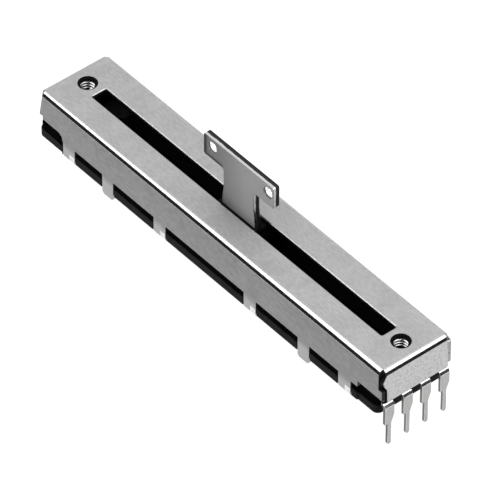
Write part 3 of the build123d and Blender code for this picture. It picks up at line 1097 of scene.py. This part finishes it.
@dataclass
class Lever(Assembly):
    """The plate lever, whose outline was punched from the front and its holes from the back, with painted highlights
    and painted shade on its edges and painted shade on its face.
    """

    edge_round: float = 0.06
    hole_x: float = 4.85
    hole_offset: float = 0.25
    hole_z: float = 6.55
    hole_reach: float = 0.9
    side_lean: float = 0.5
    shade_lean: float = 0.3

    def build(self) -> list[bpy.types.Object]:
        """Builds the lever.

        Returns:
            The finished lever alone.
        """
        finishes = self.finishes
        piece = Workpiece.of_node("lever", "lever_plate")
        piece.dress(finishes.lever, finishes.lever_lit_edge, finishes.lever_cut_painted_light, finishes.lever_bore_highlight, finishes.lever_shaded_edge)
        piece.paint(Zone.CUT, self.is_cut)
        piece.paint(Zone.BORE, self.is_bore)
        piece.round_edges(self.edge_round)
        # Rounded edges that face down or left get painted shade.
        piece.paint(Zone.PAINTED_LIGHT, self.is_shaded_edge)
        return [piece.finish(Body.SLIDER, Slot.LEVER, "lever")]

    def is_cut(self, face: bpy.types.MeshPolygon) -> bool:
        """Says whether a face goes through the plate, round its outline or in a hole."""
        return abs(face.normal.y) < self.side_lean

    def is_bore(self, face: bpy.types.MeshPolygon) -> bool:
        """Says whether a face belongs to the wall of one of the two holes."""
        across = abs(face.center.x - self.hole_offset) - self.hole_x
        return self.is_cut(face) and math.hypot(across, face.center.z - self.hole_z) < self.hole_reach

    def is_shaded_edge(self, face: bpy.types.MeshPolygon) -> bool:
        """Says whether a rounded edge looks down or to the left, away from the lamp, where it gets painted shade."""
        return in_zone(face, Zone.EDGE) and min(face.normal.x, face.normal.z) < -self.shade_lean


@dataclass
class Terminals(Assembly):
    """The bent sheet terminals at both ends, with bends painted bright as painted highlights, rounded edges, and cut
    sides painted darker as painted shade.
    """

    edge_round: float = 0.04
    bend_least: float = 0.15
    bend_most: float = 0.98
    side_lean: float = 0.7
    right_count: int = 4
    left_count: int = 2

    def build(self) -> list[bpy.types.Object]:
        """Builds each terminal.

        Returns:
            The finished terminals.
        """
        finishes = self.finishes
        made = []
        for end, count in ((End.RIGHT, self.right_count), (End.LEFT, self.left_count)):
            for number in range(1, count + 1):
                node = f"terminal_{end.value}_{number}"
                piece = Workpiece.of_node(node, f"lead_{end.value}_{number}")
                piece.dress(finishes.terminal, finishes.terminal_bend_highlight, finishes.terminal_side_shade)
                # Bends get the painted highlight.
                piece.paint(Zone.EDGE, self.is_bend)
                # Cut sides get painted shade.
                piece.paint(Zone.CUT, self.is_cut)
                piece.round_edges(self.edge_round)
                made.append(piece.finish(Body.HOUSING, Slot.TERMINAL, node))
        return made

    def is_bend(self, face: bpy.types.MeshPolygon) -> bool:
        """Says whether a face belongs to a bend, which gets a painted highlight."""
        return self.bend_least < abs(face.normal.z) < self.bend_most

    def is_cut(self, face: bpy.types.MeshPolygon) -> bool:
        """Says whether a face is on a cut side of the strip."""
        return abs(face.normal.y) > self.side_lean


@dataclass
class Stack(Assembly):
    """The resistor board, the base plate and the two terminal blocks."""

    edge_round: float = 0.06

    def build(self) -> list[bpy.types.Object]:
        """Builds the four pieces.

        Returns:
            The finished pieces.
        """
        finishes = self.finishes
        plan = (
            ("base_plate", "base_moulding", Slot.BASE, finishes.base),
            ("resistor_board", "laminate_board", Slot.BOARD, finishes.board),
            ("terminal_block_right", "insulator_right", Slot.BLOCK, finishes.block),
            ("terminal_block_left", "insulator_left", Slot.BLOCK, finishes.block),
        )
        made = []
        for node, name, slot, material in plan:
            piece = Workpiece.of_node(node, name)
            piece.dress(material, material)
            piece.round_edges(self.edge_round)
            made.append(piece.finish(Body.HOUSING, slot, node))
        return made


@dataclass
class Works(Assembly):
    """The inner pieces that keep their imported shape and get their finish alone."""

    def build(self) -> list[bpy.types.Object]:
        """Dresses the nodes.

        Returns:
            The dressed nodes.
        """
        finishes = self.finishes
        materials = {
            Slot.CARBON: finishes.carbon,
            Slot.SILVER_PRINT: finishes.silver,
            Slot.EYELET: finishes.eyelet,
            Slot.CARRIAGE: finishes.carriage,
            Slot.WIPER: finishes.wiper,
            Slot.LEAF: finishes.leaf,
        }
        made = []
        for row in frame["record"]["subparts"]:
            material = materials.get(Slot(row["material_slot"]))
            if material is not None:
                node = frame["nodes"][row["node"]]
                for index in range(len(node.material_slots)):
                    node.material_slots[index].material = material
                made.append(node)
        return made


def over_diagonal(offset: float, height: float) -> Vector:
    """Gives a place over the part, moved towards the upper left of the photo's view, in metres."""
    return (Vector((-1, 1, 0)).normalized() * offset + Vector((0, 0, height))) * MM


@dataclass
class Studio:
    """The camera at the photo's angle, the pale floor, the soft lights and the cards."""

    azimuth: float = 49.911
    elevation: float = 43.698
    roll: float = 0.23
    distance: float = 800.0
    shift_right: float = -0.965
    shift_up: float = 4.553
    lens: float = 511.5
    sensor: float = 36.0
    clip_near: float = 10.0
    clip_far: float = 100000.0
    floor_size: float = 8000.0
    floor_level: float = 0.2
    floor_roughness: float = 0.9
    floor_glow: float = 0.9
    world_level: float = 1.25
    box_height: float = 300.0
    box_size: tuple[float, float] = (2000.0, 330.0)
    box_offset: float = -52.5
    box_turn: float = 45.0
    box_radiance: float = 2.9
    card_gap: float = 12.5
    card_top: float = 9.2
    card_foot: float = -9.5
    card_level: float = 0.03
    end_card_span: tuple[float, float] = (1.2, 19.0)
    apron_lift: float = 0.02
    apron_level: float = 0.86
    flag_height: float = 280.0
    flag_size: tuple[float, float] = (190.0, 130.0)
    flag_offset: float = -75.0
    flag_turn: float = 135.0

    def build(self) -> None:
        """Builds the camera first, then the floor, the lights and the cards."""
        self.make_camera()
        self.make_floor()
        self.make_lights()
        self.make_cards()

    def make_camera(self) -> None:
        """Places the camera where the photo's edges and hole centres say."""
        around, up_angle, roll = (math.radians(angle) for angle in (self.azimuth, self.elevation, self.roll))
        right = Vector((math.cos(around), math.sin(around), 0))
        back = Vector((
            math.sin(around) * math.cos(up_angle),
            -math.cos(around) * math.cos(up_angle),
            math.sin(up_angle),
        ))
        up = back.cross(right)
        side = right * math.cos(roll) + up * math.sin(roll)
        top = up * math.cos(roll) - right * math.sin(roll)
        place = back * self.distance - side * self.shift_right - top * self.shift_up
        data = bpy.data.cameras.new("camera")
        data.lens = self.lens
        data.sensor_width = self.sensor
        data.clip_start = self.clip_near * MM
        data.clip_end = self.clip_far * MM
        camera = bpy.data.objects.new("camera", data)
        bpy.context.collection.objects.link(camera)
        camera.matrix_world = Matrix.Translation(place * MM) @ Matrix((side, top, back)).transposed().to_4x4()
        bpy.context.scene.camera = camera

    def make_floor(self) -> None:
        """Adds a plain pale floor under the terminals' tips, lit from below as on a light table."""
        bpy.ops.mesh.primitive_plane_add(size=self.floor_size * MM, location=(0, 0, cad_low.z))
        floor = bpy.context.object
        floor.name = "floor"
        finish = GlowingCard("pale_floor", self.floor_glow, self.floor_level, self.floor_roughness)
        floor.data.materials.append(finish.make())

    def make_lights(self) -> None:
        """Adds the overhead softbox and the even sky."""
        scene = bpy.context.scene
        scene.view_settings.view_transform = "Standard"
        world = bpy.data.worlds.new("studio_sky")
        world.use_nodes = True
        sky = world.node_tree.nodes["Background"]
        sky.inputs["Color"].default_value = (1, 1, 1, 1)
        sky.inputs["Strength"].default_value = self.world_level
        scene.world = world

        length, width = (size * MM for size in self.box_size)
        data = bpy.data.lights.new("softbox", "AREA")
        data.shape = "RECTANGLE"
        data.size = length
        data.size_y = width
        data.energy = self.box_radiance * math.pi * length * width
        box = bpy.data.objects.new("softbox", data)
        bpy.context.collection.objects.link(box)
        box.location = over_diagonal(self.box_offset, self.box_height)
        box.rotation_euler = (0, 0, math.radians(self.box_turn))
        box.visible_camera = False

    def make_cards(self) -> None:
        """Sets a dark card in front, another past the right end, a grey apron on the floor and a flag overhead."""
        half_length = cad_high.x + self.card_gap * MM
        half_width = cad_high.y + self.card_gap * MM
        middle = (self.card_foot + self.card_top) / 2 * MM
        height = (self.card_top - self.card_foot) * MM
        place = (0, -half_width, middle)
        self.add_card("front_card", self.card_level, place, (2 * half_length, height), (90, 0, 0))

        low, high = (y * MM for y in self.end_card_span)
        place = (half_length, (low + high) / 2, middle)
        self.add_card("end_card", self.card_level, place, (high - low, height), (90, 0, 90))

        place = (0, (cad_low.y - half_width) / 2, cad_low.z + self.apron_lift * MM)
        size = (2 * half_length, half_width + cad_low.y)
        self.add_card("grey_apron", self.apron_level, place, size, (0, 0, 0))

        place = over_diagonal(self.flag_offset, self.flag_height)
        size = tuple(side * MM for side in self.flag_size)
        self.add_card("overhead_flag", 0.0, place, size, (0, 0, self.flag_turn))

    def add_card(
        self, name: str, level: float, place: Iterable[float], size: tuple[float, float], turn: Triple
    ) -> None:
        """Adds a card with an even glow, which shows in glossy reflections alone.

        Args:
            name: Its name.
            level: Its radiance.
            place: Its middle, in metres.
            size: Its width and height, in metres.
            turn: Its turn about each axis, in degrees.
        """
        bpy.ops.object.select_all(action="DESELECT")
        rotation = [math.radians(angle) for angle in turn]
        bpy.ops.mesh.primitive_plane_add(size=1, location=place, rotation=rotation)
        card = bpy.context.object
        card.name = name
        card.scale = (*size, 1)
        card.data.materials.append(GlowingCard(name, level).make())
        card.visible_camera = False
        card.visible_diffuse = False
        card.visible_shadow = False
        card.visible_transmission = False


def main() -> None:
    """Builds the studio and every sub-assembly, and reports each piece."""
    logging.basicConfig(level=logging.INFO, format="%(message)s")
    Studio().build()
    finishes = Finishes()
    for assembly in (Cover, Lever, Terminals, Stack, Works):
        for piece in assembly(finishes).build():
            LOG.info("%s: %s has %d faces", assembly.__name__, piece.name, len(piece.data.polygons))


if __name__ == "__main__":
    main()
